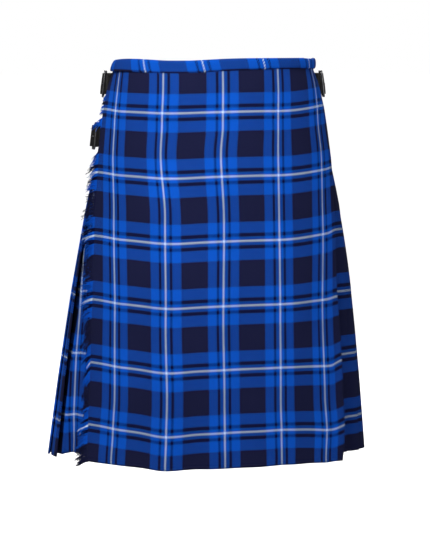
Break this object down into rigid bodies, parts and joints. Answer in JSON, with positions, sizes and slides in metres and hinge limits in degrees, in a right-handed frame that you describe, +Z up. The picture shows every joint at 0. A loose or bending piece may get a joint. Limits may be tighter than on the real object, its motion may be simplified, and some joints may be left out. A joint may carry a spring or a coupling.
{
  "type": "scottish kilt",
  "caption": "Knee-length tartan wool kilt, filled out as worn: flat fringed over apron, knife-pleated back, under apron, waistband and buckled leather straps, open at waist and hem.",
  "frame": {"origin": "middle of the waist opening, level with the top of the waistband, where the wearer's waist holds the kilt", "axes": "+Z up; the front faces -Y; +X is the wearer's left"},
  "size_m": [0.4915, 0.3468, 0.605],
  "materials": {
    "wool_tartan": "blue and navy twill-woven tartan wool with thin white lines, matt with a soft nap",
    "wool_band": "the same tartan wool, folded and pressed",
    "wool_yarn": "loose wool yarn",
    "leather_black": "smooth black leather, slight sheen",
    "nickel": "polished nickel plate"
  },
  "bodies": {
    "root": {"over_apron": "wool_tartan", "under_apron": "wool_tartan", "pleats_left": "wool_tartan", "pleats_right": "wool_tartan", "waistband": "wool_band", "apron_fringe": "wool_yarn", "right_waist_strap": "leather_black", "right_waist_tab": "leather_black", "right_waist_keeper": "leather_black", "right_waist_buckle": "nickel", "right_waist_prong": "nickel", "right_hip_strap": "leather_black", "right_hip_tab": "leather_black", "right_hip_keeper": "leather_black", "right_hip_buckle": "nickel", "right_hip_prong": "nickel", "left_waist_strap": "leather_black", "left_waist_tab": "leather_black", "left_waist_keeper": "leather_black", "left_waist_buckle": "nickel", "left_waist_prong": "nickel"}
  },
  "joints": []
}
